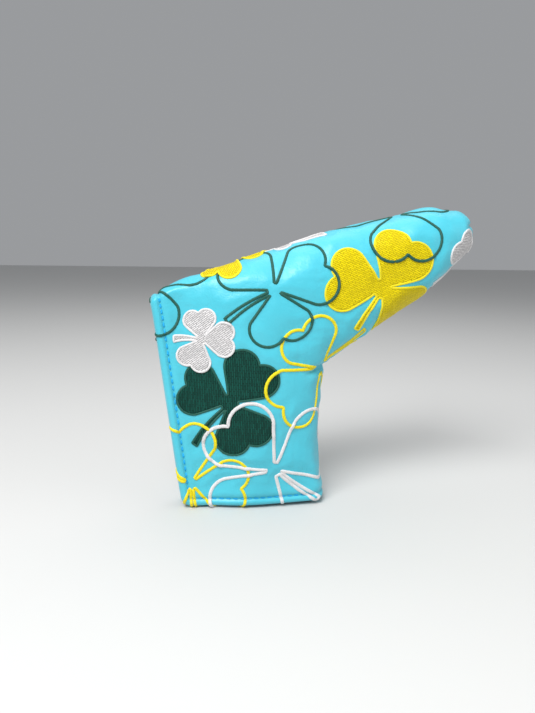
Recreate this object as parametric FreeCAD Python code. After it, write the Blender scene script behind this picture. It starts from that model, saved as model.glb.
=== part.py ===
"""Putter head cover for a blade putter: an embroidered, padded leather sleeve.

The cover stands on its open mouth, with the toe of the head pocket up and to the right.
+X runs towards the toe, +Z up, and the face with the decorated front looks along -Y.
The origin is the middle of the cover's width and thickness, on the surface it stands on.
Each wall is leather, foam and lining, one inside the other. The leather is turned in round
the open heel edge and the mouth as a hem. Two flaps below a slanting bend line swing
outwards, so that the putter head can go in, and a hook strip and a loop strip close them.
"""
import FreeCAD, Part
import math
import os

# Walls, in millimetres from the outer face inwards
LEATHER = 1.2
FOAM = 2.5
LINING = 1.3
WALL = LEATHER + FOAM + LINING
HEM_WIDTH = 11.0
STRIP_THICKNESS = 2.15

# Thickness of the cover from front to back, halved
HALF_THICKNESS = 20.0
LIP_HALF = 7.3
MOUTH_HALF = 14.0
EDGE_ROUND = 12.5

# The outline seen from the front, anticlockwise: x, z and corner radius
TOE_X = 84.5
NECK_RIGHT = 5.5
REACH_OUT = 110.0
OUTLINE = [
    (-REACH_OUT, -20.0, 0.0),
    (NECK_RIGHT, -20.0, 0.0),
    (3.2, 40.0, 120.0),
    (5.0, 73.7, 9.0),
    (57.2, 109.2, 60.0),
    (TOE_X, 135.5, 13.0),
    (TOE_X, 154.0, 13.0),
    (60.0, 155.6, 25.0),
    (2.0, 142.3, 60.0),
    (-REACH_OUT, 103.65, 0.0),
]

# The open heel edge is a straight line that leans by 8 degrees
HEEL_TOP = (-84.9, 108.0)
HEEL_BOTTOM = (-70.4, 5.0)
HEEL_LENGTH = math.dist(HEEL_TOP, HEEL_BOTTOM)
HEEL_DOWN = (
    (HEEL_BOTTOM[0] - HEEL_TOP[0]) / HEEL_LENGTH,
    (HEEL_BOTTOM[1] - HEEL_TOP[1]) / HEEL_LENGTH,
)
HEEL_IN = (-HEEL_DOWN[1], HEEL_DOWN[0])
CORNER_ROUND = 6.0
TOP_CORNER_ROUND = 9.0
RIDGE_LEFT = (-REACH_OUT, 104.7)
RIDGE_BEND = (2.0, 143.3)

# Half the thickness beside the heel edge and above the mouth
LIP_FLAT = 12.0
LIP_SLOPE = math.tan(math.radians(21.0))
MOUTH_FLAT = 10.0
MOUTH_SLOPE = 0.125

# The bend line of the flaps, from the heel edge to the mouth
BEND_TOP = (-84.0, 104.0)
BEND_BOTTOM = (-18.0, 0.0)
BEND_GAP = 0.4
BEND_LENGTH = math.dist(BEND_TOP, BEND_BOTTOM)
BEND_DOWN = (
    (BEND_BOTTOM[0] - BEND_TOP[0]) / BEND_LENGTH,
    (BEND_BOTTOM[1] - BEND_TOP[1]) / BEND_LENGTH,
)
BEND_IN = (-BEND_DOWN[1], BEND_DOWN[0])

# Threads
STITCH_INSET = 4.5
STITCH_PITCH = 3.6
STITCH_LENGTH = 2.6
STITCH_WIDTH = 0.7
STITCH_PROUD = 0.35
PATCH_PROUD = 0.45
LINE_WIDTH = 1.8
SEAM_HALF_WIDTH = 1.0

# Scraps of thread smaller than these volumes, in cubic millimetres, are left out
SMALLEST_PIECE = 0.1
SMALLEST_PATCH = 1.0

FAR = 200.0

# Clover leaf, as shares of the distance from the heart of the clover to the leaf's notch
LOBE_ALONG = 0.82
LOBE_ASIDE = 0.28
LOBE_RADIUS = 0.31
LEAF_TURNS = (-9.0, 101.0, -113.0)
STEM_LENGTH = 1.05
STEM_HALF_START = 0.04
STEM_HALF_END = 0.09

# Motifs: name, x, z, direction opposite the stem in degrees, size, filled.
# Each one was sewn over those below it in the list.
FRONT_MOTIFS = [
    ("white_small", -60.0, 89.5, 0.0, 13.5, True),
    ("white_hem", -21.3, 20.2, 142.5, 32.0, False),
    ("yellow_hem", -66.8, 12.8, 107.0, 27.0, False),
    ("yellow_elbow", 3.0, 72.8, 225.0, 24.0, False),
    ("green_outline", -26.4, 113.8, 35.5, 27.0, False),
    ("green_ridge", 47.5, 152.6, 203.0, 23.0, False),
    ("green_corner", -90.0, 112.0, 205.0, 22.0, False),
    ("white_toe", 82.0, 138.0, 226.0, 13.0, True),
    ("yellow_toe", 29.1, 115.2, 66.0, 26.0, True),
    ("white_ridge", -8.0, 150.0, 20.0, 14.0, True),
    ("yellow_heel", -42.0, 135.0, 332.0, 18.0, True),
    ("green_large", -48.3, 58.2, 58.5, 23.5, True),
]
BACK_MOTIFS = [
    ("white_back", 14.0, 106.0, 40.0, 15.0, True),
    ("green_line_back", 50.0, 124.0, 235.0, 17.0, False),
    ("white_line_back", -12.0, 20.0, 60.0, 24.0, False),
    ("yellow_line_back", -60.0, 76.0, 10.0, 18.0, False),
    ("yellow_back", -28.0, 84.0, 150.0, 20.0, True),
    ("green_back", -38.0, 44.0, 110.0, 22.0, True),
]


def unit(a, b):
    """Direction from one plane point to another."""
    length = math.dist(a, b)
    return ((b[0] - a[0]) / length, (b[1] - a[1]) / length)


def crossing(p, d, q, e):
    """Where the line through p along d meets the line through q along e."""
    along = ((q[0] - p[0]) * e[1] - (q[1] - p[1]) * e[0]) / (d[0] * e[1] - d[1] * e[0])
    return (p[0] + d[0] * along, p[1] + d[1] * along)


def inset_corners(corners, inset):
    """The corners of an anticlockwise polygon after each side moves inwards."""
    moved = []
    count = len(corners)
    for i, (x, y, radius) in enumerate(corners):
        before = corners[i - 1][:2]
        after = corners[(i + 1) % count][:2]
        d = unit(before, (x, y))
        e = unit((x, y), after)
        p = (x - d[1] * inset, y + d[0] * inset)
        q = (x - e[1] * inset, y + e[0] * inset)
        convex = d[0] * e[1] - d[1] * e[0] > 0
        new_radius = radius - inset if convex else radius + inset
        moved.append((*crossing(p, d, q, e), new_radius if radius else 0.0))
    return moved


def rounded_face(corners):
    """A face on the XY plane from corners with radii."""
    count = len(corners)
    edges = []
    runs = []
    for i, (x, y, radius) in enumerate(corners):
        d = unit(corners[i - 1][:2], (x, y))
        e = unit((x, y), corners[(i + 1) % count][:2])
        turn = math.atan2(d[0] * e[1] - d[1] * e[0], d[0] * e[0] + d[1] * e[1])
        back = radius * math.tan(abs(turn) / 2)
        start = FreeCAD.Vector(x - d[0] * back, y - d[1] * back, 0)
        end = FreeCAD.Vector(x + e[0] * back, y + e[1] * back, 0)
        if radius:
            inward = unit((d[0], d[1]), (e[0], e[1]))
            depth = radius / math.cos(turn / 2) - radius
            middle = FreeCAD.Vector(x + inward[0] * depth, y + inward[1] * depth, 0)
            edges.append(Part.Arc(start, middle, end).toShape())
        runs.append((start, end))
    for i in range(count):
        edges.append(Part.LineSegment(runs[i - 1][1], runs[i][0]).toShape())
    return Part.Face(Part.Wire(Part.__sortEdges__(edges)))


def upright(face, y_from, y_to):
    """Stands an XY face up on the XZ plane and extrudes it from one y to another."""
    standing = face.copy()
    standing.rotate(FreeCAD.Vector(0, 0, 0), FreeCAD.Vector(1, 0, 0), 90)
    standing.translate(FreeCAD.Vector(0, y_from, 0))
    return standing.extrude(FreeCAD.Vector(0, y_to - y_from, 0))


def slab(corners):
    """An upright prism of sharp corners that runs far past the front and the back."""
    return upright(rounded_face([(x, z, 0.0) for x, z in corners]), -FAR, FAR)


def placed_profile(corners, across, along, start, length):
    """Extrudes a profile of (distance, y) pairs: distance runs along the vector across."""
    face = rounded_face(corners)
    tilt = -math.degrees(math.atan2(across[1], across[0]))
    face.rotate(FreeCAD.Vector(0, 0, 0), FreeCAD.Vector(0, 1, 0), tilt)
    face.translate(FreeCAD.Vector(start[0], 0, start[1]))
    return face.extrude(FreeCAD.Vector(along[0] * length, 0, along[1] * length))


def lip_prism(inset):
    """The room between the two lips beside the heel edge, widening towards the middle."""
    far_half = LIP_HALF + (FAR - LIP_FLAT) * LIP_SLOPE
    corners = [
        (-60.0, -LIP_HALF, 0.0),
        (LIP_FLAT, -LIP_HALF, 40.0),
        (FAR, -far_half, 0.0),
        (FAR, far_half, 0.0),
        (LIP_FLAT, LIP_HALF, 40.0),
        (-60.0, LIP_HALF, 0.0),
    ]
    start = (HEEL_TOP[0] - HEEL_DOWN[0] * FAR, HEEL_TOP[1] - HEEL_DOWN[1] * FAR)
    return placed_profile(inset_corners(corners, inset), HEEL_IN, HEEL_DOWN, start, 2 * FAR)


def mouth_prism(inset):
    """The room between the two sides of the mouth, widening upwards."""
    far_half = MOUTH_HALF + (FAR - MOUTH_FLAT) * MOUTH_SLOPE
    corners = [
        (-60.0, -MOUTH_HALF, 0.0),
        (MOUTH_FLAT, -MOUTH_HALF, 60.0),
        (FAR, -far_half, 0.0),
        (FAR, far_half, 0.0),
        (MOUTH_FLAT, MOUTH_HALF, 60.0),
        (-60.0, MOUTH_HALF, 0.0),
    ]
    return placed_profile(inset_corners(corners, inset), (0, 1), (1, 0), (-FAR, 0), 2 * FAR)


def pillow(inset):
    """The padded body, as a solid block whose surface lies inset below the outer face."""
    half = HALF_THICKNESS - inset
    block = upright(rounded_face(inset_corners(OUTLINE, inset)), -half, half)
    long_edges = []
    for edge in block.Edges:
        middle = edge.valueAt((edge.FirstParameter + edge.LastParameter) / 2)
        on_face = abs(abs(middle.y) - half) < 1e-6
        past_opening = middle.x < -REACH_OUT + 15 or middle.z < -15
        if on_face and not past_opening:
            long_edges.append(edge)
    block = block.makeFillet(EDGE_ROUND - inset, long_edges)
    return block.common(lip_prism(inset)).common(mouth_prism(inset))


def trimmed_outline(inset):
    """Everything inside the heel edge and the mouth, with rounded corners."""
    heel_high = (HEEL_TOP[0] - HEEL_DOWN[0] * 50, HEEL_TOP[1] - HEEL_DOWN[1] * 50)
    ridge = unit(RIDGE_LEFT, RIDGE_BEND)
    top_left = crossing(heel_high, HEEL_DOWN, RIDGE_LEFT, ridge)
    bottom_left = crossing(HEEL_TOP, HEEL_DOWN, (0, 0), (1, 0))
    top_right = (RIDGE_LEFT[0] + ridge[0] * FAR * 2, RIDGE_LEFT[1] + ridge[1] * FAR * 2)
    corners = [
        (*bottom_left, CORNER_ROUND),
        (top_right[0], 0.0, 0.0),
        (*top_right, 0.0),
        (*top_left, TOP_CORNER_ROUND),
    ]
    return upright(rounded_face(inset_corners(corners, inset)), -FAR, FAR)


def past_hem():
    """Everything further than the hem's width from the heel edge and the mouth."""
    shift = (HEEL_TOP[0] + HEEL_IN[0] * HEM_WIDTH, HEEL_TOP[1] + HEEL_IN[1] * HEM_WIDTH)
    low = crossing(shift, HEEL_DOWN, (0, HEM_WIDTH), (1, 0))
    high = crossing(shift, HEEL_DOWN, (0, FAR), (1, 0))
    return slab([low, (FAR, HEM_WIDTH), (FAR, FAR), high])


def flap_region(shift):
    """Everything on the flaps' side of the bend line, moved by shift towards the toe."""
    base = (BEND_TOP[0] + BEND_IN[0] * shift, BEND_TOP[1] + BEND_IN[1] * shift)
    high = (base[0] - BEND_DOWN[0] * FAR, base[1] - BEND_DOWN[1] * FAR)
    low = (base[0] + BEND_DOWN[0] * 2 * FAR, base[1] + BEND_DOWN[1] * 2 * FAR)
    return slab([(-2 * FAR, low[1]), low, high, (-2 * FAR, high[1])])


def half_space(side):
    """The front half of space for side -1, and the back half for side 1."""
    box = Part.makeBox(4 * FAR, FAR, 4 * FAR, FreeCAD.Vector(-2 * FAR, 0, -2 * FAR))
    if side < 0:
        box.translate(FreeCAD.Vector(0, -FAR, 0))
    return box


def heel_band(near, far, low, high):
    """An upright slab between two distances from the heel edge and two lengths along it."""
    corners = []
    for distance, along in ((near, high), (far, high), (far, low), (near, low)):
        x = HEEL_TOP[0] + HEEL_IN[0] * distance + HEEL_DOWN[0] * along
        z = HEEL_TOP[1] + HEEL_IN[1] * distance + HEEL_DOWN[1] * along
        corners.append((x, z))
    return slab(corners)


def bar(middle, direction, length, width):
    """An upright bar across the whole thickness, centred on a point of the front view."""
    side = (-direction[1] * width / 2, direction[0] * width / 2)
    step = (direction[0] * length / 2, direction[1] * length / 2)
    return slab([
        (middle[0] - step[0] - side[0], middle[1] - step[1] - side[1]),
        (middle[0] + step[0] - side[0], middle[1] + step[1] - side[1]),
        (middle[0] + step[0] + side[0], middle[1] + step[1] + side[1]),
        (middle[0] - step[0] + side[0], middle[1] - step[1] + side[1]),
    ])


def heel_stitch_bars():
    """One bar for each stitch of the row beside the heel edge."""
    bars = []
    count = int((HEEL_LENGTH - 4.0) / STITCH_PITCH)
    for i in range(count):
        along = 2.0 + i * STITCH_PITCH
        x = HEEL_TOP[0] + HEEL_IN[0] * STITCH_INSET + HEEL_DOWN[0] * along
        z = HEEL_TOP[1] + HEEL_IN[1] * STITCH_INSET + HEEL_DOWN[1] * along
        bars.append(bar((x, z), HEEL_DOWN, STITCH_LENGTH, STITCH_WIDTH))
    return Part.makeCompound(bars)


def mouth_stitch_bars():
    """One bar for each stitch of the row above the mouth."""
    bars = []
    first = HEEL_BOTTOM[0] + STITCH_INSET + 1.0
    last = NECK_RIGHT - 4.0
    count = int((last - first) / STITCH_PITCH) + 1
    for i in range(count):
        middle = (first + i * STITCH_PITCH, STITCH_INSET)
        bars.append(bar(middle, (1.0, 0.0), STITCH_LENGTH, STITCH_WIDTH))
    return Part.makeCompound(bars)


def leaf_wire(size):
    """A heart-shaped leaf that points along +X, with its tip at the origin."""
    across = LOBE_ASIDE * size
    along = LOBE_ALONG * size
    radius = LOBE_RADIUS * size
    reach = math.hypot(along, across)
    spread = math.atan2(across, along) + math.asin(radius / reach)
    tangent = math.sqrt(reach * reach - radius * radius)
    notch_x = along + math.sqrt(radius * radius - across * across)
    upper = FreeCAD.Vector(tangent * math.cos(spread), tangent * math.sin(spread), 0)
    lower = FreeCAD.Vector(upper.x, -upper.y, 0)
    notch = FreeCAD.Vector(notch_x, 0, 0)
    tip = FreeCAD.Vector(0, 0, 0)
    crown = math.radians(50.0)
    peak_x = along + radius * math.cos(crown)
    peak_y = across + radius * math.sin(crown)
    edges = [
        Part.LineSegment(tip, lower).toShape(),
        Part.Arc(lower, FreeCAD.Vector(peak_x, -peak_y, 0), notch).toShape(),
        Part.Arc(notch, FreeCAD.Vector(peak_x, peak_y, 0), upper).toShape(),
        Part.LineSegment(upper, tip).toShape(),
    ]
    return Part.Wire(edges)


def clover_prism(x, z, heading, size, filled):
    """A clover of three leaves and a stem, seen from the front, across the whole thickness."""
    faces = []
    for turn in LEAF_TURNS:
        face = Part.Face(leaf_wire(size))
        if not filled:
            face = face.cut(Part.Face(face.makeOffset2D(-LINE_WIDTH).OuterWire))
        face.rotate(FreeCAD.Vector(0, 0, 0), FreeCAD.Vector(0, 0, 1), heading + turn)
        faces.append(face)
    start = STEM_HALF_START * size
    end = STEM_HALF_END * size
    length = STEM_LENGTH * size
    stem = rounded_face([(-length, -end, 0), (0, -start, 0), (0, start, 0), (-length, end, 0)])
    stem.rotate(FreeCAD.Vector(0, 0, 0), FreeCAD.Vector(0, 0, 1), heading)
    faces.append(stem)
    prisms = []
    for face in faces:
        face.translate(FreeCAD.Vector(x, z, 0))
        prisms.append(upright(face, -FAR, FAR))
    return prisms[0].multiFuse(prisms[1:])


def solids_of(shape, smallest):
    """The solids of a boolean result, as one shape, or None when nothing is left."""
    solids = [solid for solid in shape.Solids if solid.Volume > smallest]
    if not solids:
        return None
    return solids[0] if len(solids) == 1 else Part.makeCompound(solids)


def write(node, shape, smallest=SMALLEST_PIECE):
    """Writes one node, skipping a piece that turned out empty."""
    kept = solids_of(shape, smallest)
    if kept is None:
        return
    kept.exportStep(f"parts/{node}.step")
    box = kept.BoundBox
    print(
        f"{node:30s} solids {len(kept.Solids):3d} volume {kept.Volume:10.1f} "
        f"x {box.XMin:7.1f} {box.XMax:7.1f} y {box.YMin:6.1f} {box.YMax:6.1f} "
        f"z {box.ZMin:6.1f} {box.ZMax:6.1f} valid {kept.isValid()}"
    )


def split_and_write(name, shape, beyond_bend, before_bend, smallest=SMALLEST_PIECE):
    """Writes what belongs to the shell, the front flap and the back flap."""
    write(f"{name}_shell", shape.cut(beyond_bend), smallest)
    flaps = shape.common(before_bend)
    write(f"{name}_front_flap", flaps.common(half_space(-1)), smallest)
    write(f"{name}_back_flap", flaps.common(half_space(1)), smallest)


def main():
    os.makedirs("parts", exist_ok=True)
    outer = pillow(0.0)
    under_leather = pillow(LEATHER)
    under_foam = pillow(LEATHER + FOAM)
    hollow = pillow(WALL)
    edge = trimmed_outline(0.0)
    edge_in = trimmed_outline(LEATHER)
    inside_hem = past_hem()
    beyond_bend = flap_region(BEND_GAP / 2)
    before_bend = flap_region(-BEND_GAP / 2)

    skin = outer.cut(under_leather).common(edge)
    rim = under_leather.cut(hollow).common(edge).cut(edge_in)
    turned_in = under_foam.cut(hollow).common(edge_in).cut(inside_hem)
    leather = skin.fuse(rim).fuse(turned_in).removeSplitter()
    split_and_write("leather", leather, beyond_bend, before_bend)

    seam_slot = Part.makeBox(
        FAR, 2 * SEAM_HALF_WIDTH, FAR, FreeCAD.Vector(-2.0, -SEAM_HALF_WIDTH, 0)
    )
    under_ridge = slab([(-4.0, 8.0), (40.0, 8.0), (100.0, 148.0), (79.0, 148.0), (-4.0, 92.0)])
    seam_slot = seam_slot.common(under_ridge)
    foam = under_leather.cut(under_foam).common(edge_in).cut(seam_slot)
    split_and_write("padding", foam, beyond_bend, before_bend)

    lining = under_foam.cut(hollow).common(inside_hem)
    split_and_write("lining", lining, beyond_bend, before_bend)

    seam_layer = under_leather.cut(pillow(LEATHER + 0.6))
    seam_line = Part.makeBox(FAR, 1.0, FAR, FreeCAD.Vector(-1.0, -0.5, 0))
    write("seam_thread", seam_layer.common(seam_line).common(seam_slot))

    strip_band = heel_band(2.5, 21.0, 18.0, 92.0)
    strips = hollow.cut(pillow(WALL + STRIP_THICKNESS)).common(strip_band).common(before_bend)
    write("hook_strip_front_flap", strips.common(half_space(-1)))
    write("loop_strip_back_flap", strips.common(half_space(1)))

    stitch_bars = {"heel_stitches": heel_stitch_bars(), "mouth_stitches": mouth_stitch_bars()}
    stitch_layer = pillow(-STITCH_PROUD).cut(outer).common(edge)
    for name, bars in stitch_bars.items():
        split_and_write(name, stitch_layer.common(bars), beyond_bend, before_bend)

    thread_layer = pillow(-PATCH_PROUD).cut(outer).common(edge)
    for side, motifs in ((-1, FRONT_MOTIFS), (1, BACK_MOTIFS)):
        layer = thread_layer.common(half_space(side))
        sewn_over = list(stitch_bars.values())
        for name, x, z, heading, size, filled in motifs:
            prism = clover_prism(x, z, heading, size, filled)
            patch = layer.common(prism).cut(sewn_over)
            split_and_write(f"clover_{name}", patch, beyond_bend, before_bend, SMALLEST_PATCH)
            sewn_over.append(prism)


main()
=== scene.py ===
"""Looks of the padded cover for a blade putter: leather, foam, lining, hems and embroidery.

Lengths are millimetres in the model's own axes, until mesh_piece() turns them into metres.
The padded wall is described once. A plan point is a place in the front view. wall_points()
gives the 3-D point and the normal of the outer face there, on the front or on the back, and
every layer, hem, stitch and thread is built from it.
"""
import math

import bpy
import numpy as np
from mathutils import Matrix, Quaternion, Vector, kdtree, noise
from mathutils.geometry import delaunay_2d_cdt


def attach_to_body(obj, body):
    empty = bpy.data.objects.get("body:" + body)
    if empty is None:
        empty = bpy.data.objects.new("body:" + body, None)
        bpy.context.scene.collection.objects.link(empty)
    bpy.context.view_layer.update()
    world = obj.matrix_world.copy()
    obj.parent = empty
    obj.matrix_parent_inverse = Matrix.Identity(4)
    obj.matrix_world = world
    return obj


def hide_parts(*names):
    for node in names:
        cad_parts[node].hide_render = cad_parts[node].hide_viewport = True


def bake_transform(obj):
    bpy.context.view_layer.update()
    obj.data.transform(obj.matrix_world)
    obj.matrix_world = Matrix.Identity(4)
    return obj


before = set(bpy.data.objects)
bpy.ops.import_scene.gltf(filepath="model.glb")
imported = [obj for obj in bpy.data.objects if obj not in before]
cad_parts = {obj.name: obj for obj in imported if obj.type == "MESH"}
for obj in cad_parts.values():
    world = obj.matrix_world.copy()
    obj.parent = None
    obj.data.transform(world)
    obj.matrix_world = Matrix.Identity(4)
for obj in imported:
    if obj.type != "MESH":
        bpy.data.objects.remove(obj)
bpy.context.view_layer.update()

MM = 0.001
FRONT, BACK = -1, 1

# Outline of the front view, anticlockwise: x, z and corner radius. The mouth and the heel
# edge are open rims. All the other edges are closed, where the front meets the back.
CORNERS = [
    (-70.4, 0.0, 6.0),
    (6.8, 1.2, 0.0),
    (2.6, 40.0, 120.0),
    (4.6, 74.4, 8.5),
    (57.2, 109.2, 60.0),
    (85.0, 135.5, 13.0),
    (85.0, 154.8, 12.5),
    (60.0, 156.2, 25.0),
    (2.0, 142.3, 60.0),
    (-85.5, 112.2, 0.0),
]
MOUTH_NECK, HEEL_TOP, TOE = 1, 9, 5
RIM_EDGES = (0, HEEL_TOP)

# Thickness of the body and its walls
HALF_THICKNESS = 20.0
EDGE_ROUND = 16.0
LIP_HALF = 7.3
MOUTH_HALF = 14.0
WALL = 5.0
LEATHER_DEPTHS = (0.0, 1.2)
FOAM_DEPTHS = (1.3, 3.6)
LINING_DEPTHS = (3.75, 4.95)
SETTLED_DEPTH = 2.0
HEM_WIDTH = 11.0
ROLL = WALL / 2
QUARTER = EDGE_ROUND * math.pi / 2
UNROLLED = QUARTER - EDGE_ROUND

# Stitch rows beside the rims
STITCH_INSET = 4.5
STITCH_PITCH = 3.6
STITCH_LENGTH = 2.7

# The bend line of the flaps, and where bending starts across it
BEND_TOP = np.array([-84.0, 104.0])
BEND_BOTTOM = np.array([-18.0, 0.0])
BEND_START = 1.5
BODIES = ("shell", "front_flap", "back_flap")
FLAPS = {FRONT: "front_flap", BACK: "back_flap"}
NAMES = {FRONT: "front", BACK: "back"}

# How fast the pocket widens away from its rims: slope, where it starts, and how softly
LIP_WIDENING = (0.4, 14.0, 6.0)
MOUTH_WIDENING = (0.13, 12.0, 8.0)

# Relief of the leather. Most forms are a height, which is negative in a pit, and a width. Some
# also have a distance: from the rim, the seam, the toe or the crease.
QUILT_RISE = 0.9
QUILT_REACH = 4.5
QUILT_SINK = 0.25
NO_THREAD = 9.0
LUMPS = ((0.45, 21.0), (0.18, 7.0))
GROOVE = (-0.7, 0.8)
PUCKER = (-0.25, 0.8)
RIM_SWELLINGS = {2.2: (0.5, 1.3), STITCH_INSET + 3.2: (0.35, 1.8)}
SEAM = (-1.3, 1.2)
SEAM_WRINKLE = (-0.22, 2.5)
WRINKLE_AT = 2.5
TOE_CENTRE = np.array([84.5, 0.0, 148.5])
TOE_PIT = (-3.4, 3.6)
TOE_DIMPLES_AT = (84.0, 8.5, 148.0)
TOE_DIMPLE = (-2.6, 2.6)
TOE_GATHER = (-0.55, 4.5)
GATHER_AT = 5.5
TOE_TUCK = (-1.5, 1.0)
ELBOW = np.array([4.6, 74.4])
ELBOW_CREASE = (-2.4, 1.4)
ELBOW_SWELLING = (0.6, 2.6)
SWELLING_AT = 4.5
HEEL_DROP = (-3.0, 9.0)

# How much of the simulated softness is used, and how far from the rims it starts and is full
SOFT_FRAMES = 20
SOFT_LIMIT = 6.0
SOFT_SHARE = 0.4
SOFT_FROM = 4.0
SOFT_FULL = 22.0


# ---- outline

def unit(v):
    return v / np.linalg.norm(v)


def lengths(rows):
    return np.linalg.norm(rows, axis=1)


def units(rows):
    return rows / (lengths(rows)[:, None] + 1e-12)


def travelled(line):
    """How far along a line each of its points is."""
    return np.concatenate([[0], np.cumsum(lengths(np.diff(line, axis=0)))])


def heading(angle):
    return np.array([math.cos(angle), math.sin(angle)])


def inward(v):
    """The left-hand normal, which points into an anticlockwise outline."""
    return np.array([-v[1], v[0]])


def moved_corners(rim_in, closed_in):
    """Corners of the outline after its rims and its closed edges move inwards."""
    count = len(CORNERS)
    insets = [rim_in if i in RIM_EDGES else closed_in for i in range(count)]
    moved = []
    for i, (x, z, radius) in enumerate(CORNERS):
        here = np.array([x, z])
        before = unit(here - np.array(CORNERS[i - 1][:2]))
        after = unit(np.array(CORNERS[(i + 1) % count][:2]) - here)
        p = here + inward(before) * insets[i - 1]
        q = here + inward(after) * insets[i]
        turn = before[0] * after[1] - before[1] * after[0]
        step = ((q[0] - p[0]) * after[1] - (q[1] - p[1]) * after[0]) / turn
        shrunk = radius - insets[i] if turn > 0 else radius + insets[i]
        moved.append((p + before * step, max(shrunk, 0.3) if radius else 0.0))
    return moved


def run(corners, first, last):
    """Lines and arcs of the outline from one sharp corner to another."""
    count = len(corners)
    pieces = []
    start = corners[first][0]
    i = first
    while i % count != last % count:
        i += 1
        point, radius = corners[i % count]
        if i % count == last % count:
            pieces.append(("line", start, point))
            break
        d = unit(point - corners[(i - 1) % count][0])
        e = unit(corners[(i + 1) % count][0] - point)
        turn = math.atan2(d[0] * e[1] - d[1] * e[0], float(d @ e))
        back = radius * math.tan(abs(turn) / 2)
        entry = point - d * back
        pieces.append(("line", start, entry))
        side = 1.0 if turn > 0 else -1.0
        centre = entry + inward(d) * radius * side
        from_angle = math.atan2(*(entry - centre)[::-1])
        pieces.append(("arc", centre, radius, from_angle, turn))
        start = point + e * back
    return pieces


def piece_length(piece):
    if piece[0] == "line":
        return float(np.linalg.norm(piece[2] - piece[1]))
    return abs(piece[2] * piece[4])


def sample(pieces, counts):
    """Points along a run, with a fixed number of steps in each line or arc."""
    points = [pieces[0][1]]
    for piece, count in zip(pieces, counts):
        shares = np.arange(1, count + 1) / count
        if piece[0] == "line":
            points.extend(piece[1] + (piece[2] - piece[1]) * share for share in shares)
        else:
            _, centre, radius, angle, turn = piece
            points.extend(centre + radius * heading(angle + turn * share) for share in shares)
    return np.array(points)


def step_counts(pieces, step):
    return [max(1, round(piece_length(piece) / step)) for piece in pieces]


def nearest(pieces, plan):
    """Signed distance to a run, positive inside, the inward normal and the length along it."""
    best = np.full(len(plan), 1e9)
    normal = np.zeros((len(plan), 2))
    place = np.zeros(len(plan))
    passed = 0.0
    for piece in pieces:
        if piece[0] == "line":
            a, b = piece[1], piece[2]
            length = np.linalg.norm(b - a)
            d = (b - a) / length
            raw = (plan - a) @ d
            t = np.clip(raw, 0, length)
            off = plan - a - t[:, None] * d
            distance = lengths(off)
            sign = np.where(off @ inward(d) < 0, -1.0, 1.0)
            inside = (raw >= 0) & (raw <= length) | (distance < 1e-6)
            n = np.where(inside[:, None], inward(d), off * (sign / (distance + 1e-12))[:, None])
            along = t
        else:
            _, centre, radius, angle, turn = piece
            off = plan - centre
            reach = lengths(off)
            swing = (np.arctan2(off[:, 1], off[:, 0]) - angle) * np.sign(turn)
            swing = np.mod(swing + math.pi, 2 * math.pi) - math.pi
            within = (swing >= 0) & (swing <= abs(turn))
            signed = (radius - reach) * np.sign(turn)
            distance = np.where(within, np.abs(signed), 1e9)
            sign = np.where(signed < 0, -1.0, 1.0)
            n = -off / (reach + 1e-12)[:, None] * np.sign(turn)
            along = swing * radius
        closer = distance < np.abs(best)
        best = np.where(closer, distance * sign, best)
        normal[closer] = n[closer]
        place = np.where(closer, passed + along, place)
        passed += piece_length(piece)
    return best, normal, place


def extended(pieces, before, after):
    """A run whose first and last lines go on past their ends."""
    first, last = pieces[0], pieces[-1]
    longer = list(pieces)
    longer[0] = ("line", first[1] - unit(first[2] - first[1]) * before, first[2])
    longer[-1] = ("line", last[1], last[2] + unit(last[2] - last[1]) * after)
    return longer


PLAIN = moved_corners(0.0, 0.0)
CLOSED_RUN = extended(run(PLAIN, MOUTH_NECK, HEEL_TOP), 60.0, 60.0)
SPLIT = 2 * (TOE - MOUTH_NECK)
UNDER_RUN, RIDGE_RUN = CLOSED_RUN[:SPLIT + 1], CLOSED_RUN[SPLIT:]
RIM_RUN = extended(run(PLAIN, HEEL_TOP, MOUTH_NECK), 60.0, 60.0)
HEEL_IN = inward(unit(PLAIN[0][0] - PLAIN[HEEL_TOP][0]))


# ---- surface

def smooth(low, high, value):
    t = np.clip((value - low) / (high - low), 0, 1)
    return t * t * (3 - 2 * t)


def widening(value, slope, start, width):
    """Nearly zero below the start, and a steady slope above it."""
    return slope * width * np.logaddexp(0.0, (value - start) / width)


def form(offset, height, width):
    """The full height where the offset is zero, and nearly none from two widths away."""
    return height * np.exp(-((offset / width) ** 2))


def closed_distance(plan):
    """Smooth distance to the closed edges, its inward normal, and whether it is the ridge."""
    under, under_n, _ = nearest(UNDER_RUN, plan)
    ridge, ridge_n, _ = nearest(RIDGE_RUN, plan)
    is_ridge = ridge < under
    low = np.where(is_ridge, ridge, under)
    high = np.maximum(np.where(is_ridge, under, ridge), 0.01)
    ratio = np.clip(np.maximum(low, 0) / high, 0, 1)
    distance = low * (1 + ratio ** 5) ** -0.2
    return distance, np.where(is_ridge[:, None], ridge_n, under_n), is_ridge


def height_squared(plan):
    """Square of the half thickness of the body over a plan point."""
    distance, _, _ = closed_distance(plan)
    q = np.clip(distance / EDGE_ROUND, -0.5, 1.0)
    crown = HALF_THICKNESS ** 2 * (2 * q - q * q)
    from_heel = (plan - PLAIN[HEEL_TOP][0]) @ HEEL_IN
    lip = (LIP_HALF + widening(from_heel, *LIP_WIDENING)) ** 2
    mouth = (MOUTH_HALF + widening(plan[:, 1], *MOUTH_WIDENING)) ** 2
    share = np.maximum(crown, 0)
    return crown * (1 + (share / lip) ** 4 + (share / mouth) ** 4) ** -0.25


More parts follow.
